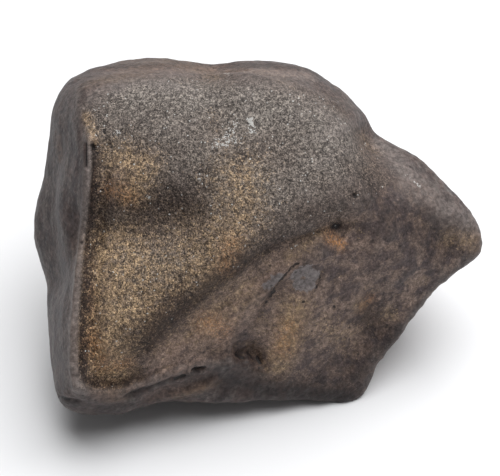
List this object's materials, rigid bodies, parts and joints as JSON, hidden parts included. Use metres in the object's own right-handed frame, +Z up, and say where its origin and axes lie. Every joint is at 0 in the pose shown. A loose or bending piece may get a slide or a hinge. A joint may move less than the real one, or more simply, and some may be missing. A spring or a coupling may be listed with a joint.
{
  "type": "stony meteorite",
  "caption": "Stony meteorite, dark brown and dusted with ochre: a blocky stone with worn facets, thumbprint hollows, a raised rim and a blunt spur.",
  "frame": {"origin": "on the flat that the stone rests on, under the centre of its bounding box", "axes": "+Z up as the stone rests; +X along its length, towards the spur; +Y away from the broad face, towards the back"},
  "size_m": [0.0675, 0.0479, 0.0432],
  "materials": {
    "fusion_crust": "weathered dark brown crust, dull to faintly glossy on the worn edges, with a fine sandy grain and ochre dust in the hollows"
  },
  "bodies": {
    "root": {"meteorite": "fusion_crust"}
  },
  "joints": []
}
